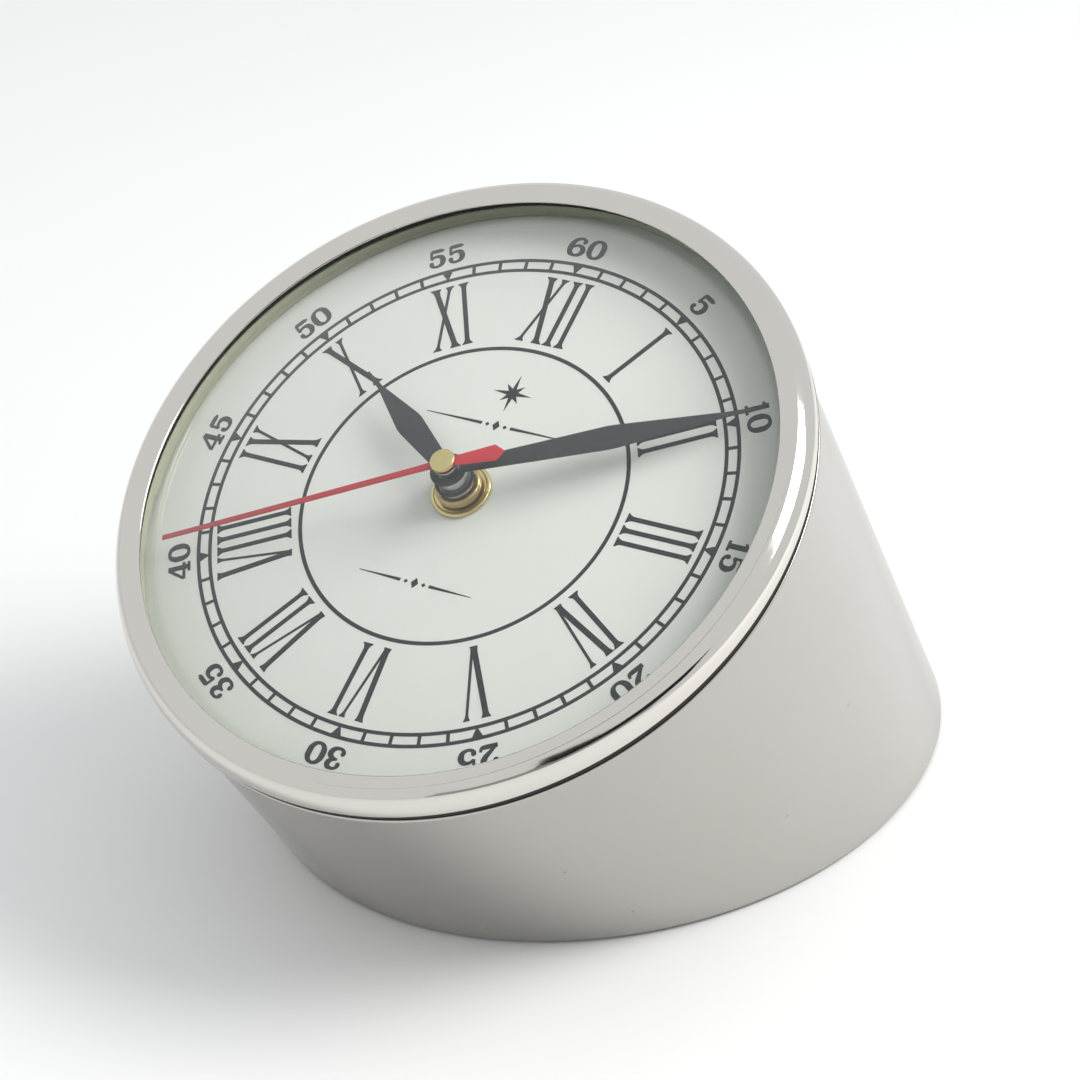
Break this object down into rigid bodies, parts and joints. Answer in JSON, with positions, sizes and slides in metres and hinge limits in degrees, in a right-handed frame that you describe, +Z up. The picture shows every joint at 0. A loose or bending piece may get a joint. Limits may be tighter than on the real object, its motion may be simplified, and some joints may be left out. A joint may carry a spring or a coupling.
{
  "type": "mantel clock",
  "caption": "Round nickel drum mantel clock on a slanted foot, with a tilted dial, domed glass, three hands and a battery movement.",
  "frame": {"origin": "middle of the bounding box underside, on the surface the clock stands on", "axes": "+Z up; the dial faces -Y and leans back by 57 degrees from upright; +X is to the right of a person facing the clock"},
  "size_m": [0.15, 0.2096, 0.133],
  "materials": {
    "nickel": "polished nickel plate with a soft satin sheen",
    "glass": "clear domed glass",
    "dial_enamel": "pale greenish white dial enamel, satin",
    "spacer_paint": "olive grey paint, satin",
    "black_rubber": "black rubber, matte",
    "brass": "turned bright brass",
    "steel": "grey steel, turned",
    "hand_charcoal": "dark charcoal paint, satin",
    "hand_red": "red paint, satin",
    "black_plastic": "moulded black plastic, fine texture",
    "white_plastic": "natural white acetal",
    "magnet": "sintered dark magnet material",
    "copper": "enamelled copper wire, wound in layers",
    "board_green": "green circuit board lacquer",
    "battery_jacket": "printed dark blue jacket without text",
    "fibreboard": "fibreboard",
    "felt": "dark green wool felt"
  },
  "bodies": {
    "clock_body": {"drum_body": "nickel", "bezel_ring": "nickel", "bezel_seal": "black_rubber", "glass_gasket": "black_rubber", "dial_spacer_ring": "spacer_paint", "glass_dome": "glass", "dial_plate": "dial_enamel", "dial_retaining_ring": "steel", "threaded_bushing": "brass", "rubber_washer": "black_rubber", "brass_washer": "brass", "center_nut": "brass", "movement_case": "black_plastic", "movement_plate": "white_plastic", "movement_cover": "black_plastic", "coil_core": "steel", "coil_bobbin": "white_plastic", "coil_winding": "copper", "stator": "steel", "stator_screw_1": "steel", "stator_screw_2": "steel", "circuit_board": "board_green", "circuit_chip": "black_plastic", "quartz_crystal": "steel", "battery": "battery_jacket", "battery_contact_positive": "steel", "battery_contact_negative": "steel", "base_board": "fibreboard", "base_felt": "felt", "base_lug_1": "steel", "base_screw_1": "steel", "base_lug_2": "steel", "base_screw_2": "steel", "base_lug_3": "steel", "base_screw_3": "steel", "base_lug_4": "steel", "base_screw_4": "steel"},
    "second_hand_set": {"second_hand": "hand_red", "second_hand_cap": "brass", "second_hand_socket": "steel", "seconds_wheel": "steel"},
    "rotor_set": {"rotor": "magnet"},
    "intermediate_set": {"intermediate_wheel": "white_plastic"},
    "third_set": {"third_wheel": "brass"},
    "center_wheel_set": {"center_wheel": "brass", "clutch_spring": "steel"},
    "minute_hand_set": {"minute_hand": "hand_charcoal", "minute_hand_collet": "steel", "cannon_pinion": "steel"},
    "minute_wheel_set": {"minute_wheel": "white_plastic"},
    "hour_hand_set": {"hour_hand": "hand_charcoal", "hour_hand_collet": "steel", "hour_wheel": "white_plastic"},
    "set_knob_set": {"set_knob": "black_plastic"}
  },
  "joints": [
    {"name": "second_hand_turn", "type": "hinge", "parent": "clock_body", "child": "second_hand_set", "pos_m": [0, -0.03882, 0.08638], "axis": [0, 0.5446, -0.8387], "continuous": true},
    {"name": "rotor_turn", "type": "hinge", "parent": "clock_body", "child": "rotor_set", "pos_m": [0.01097, -0.03065, 0.09169], "axis": [0, 0.5446, -0.8387], "continuous": true},
    {"name": "intermediate_turn", "type": "hinge", "parent": "clock_body", "child": "intermediate_set", "pos_m": [0.0042, -0.03272, 0.09034], "axis": [0, 0.5446, -0.8387], "continuous": true},
    {"name": "third_turn", "type": "hinge", "parent": "clock_body", "child": "third_set", "pos_m": [-0.00795, -0.03497, 0.08888], "axis": [0, 0.5446, -0.8387], "continuous": true},
    {"name": "center_wheel_turn", "type": "hinge", "parent": "clock_body", "child": "center_wheel_set", "pos_m": [0, -0.03882, 0.08638], "axis": [0, 0.5446, -0.8387], "continuous": true},
    {"name": "minute_hand_turn", "type": "hinge", "parent": "clock_body", "child": "minute_hand_set", "pos_m": [0, -0.03882, 0.08638], "axis": [0, 0.5446, -0.8387], "continuous": true},
    {"name": "minute_wheel_turn", "type": "hinge", "parent": "clock_body", "child": "minute_wheel_set", "pos_m": [0.00705, -0.04097, 0.08499], "axis": [0, 0.5446, -0.8387], "continuous": true},
    {"name": "hour_hand_turn", "type": "hinge", "parent": "clock_body", "child": "hour_hand_set", "pos_m": [0, -0.03882, 0.08638], "axis": [0, 0.5446, -0.8387], "continuous": true},
    {"name": "set_knob_turn", "type": "hinge", "parent": "clock_body", "child": "set_knob_set", "pos_m": [0.01247, -0.04639, 0.08147], "axis": [0, 0.5446, -0.8387], "continuous": true}
  ],
  "couplings": [
    {"joint": "rotor_turn", "follows": "second_hand_turn", "ratio": 30},
    {"joint": "intermediate_turn", "follows": "second_hand_turn", "ratio": -6},
    {"joint": "third_turn", "follows": "second_hand_turn", "ratio": -0.13333},
    {"joint": "center_wheel_turn", "follows": "second_hand_turn", "ratio": 0.016667},
    {"joint": "minute_wheel_turn", "follows": "minute_hand_turn", "ratio": -0.33333},
    {"joint": "hour_hand_turn", "follows": "minute_hand_turn", "ratio": 0.083333},
    {"joint": "set_knob_turn", "follows": "minute_hand_turn", "ratio": 0.66667}
  ]
}
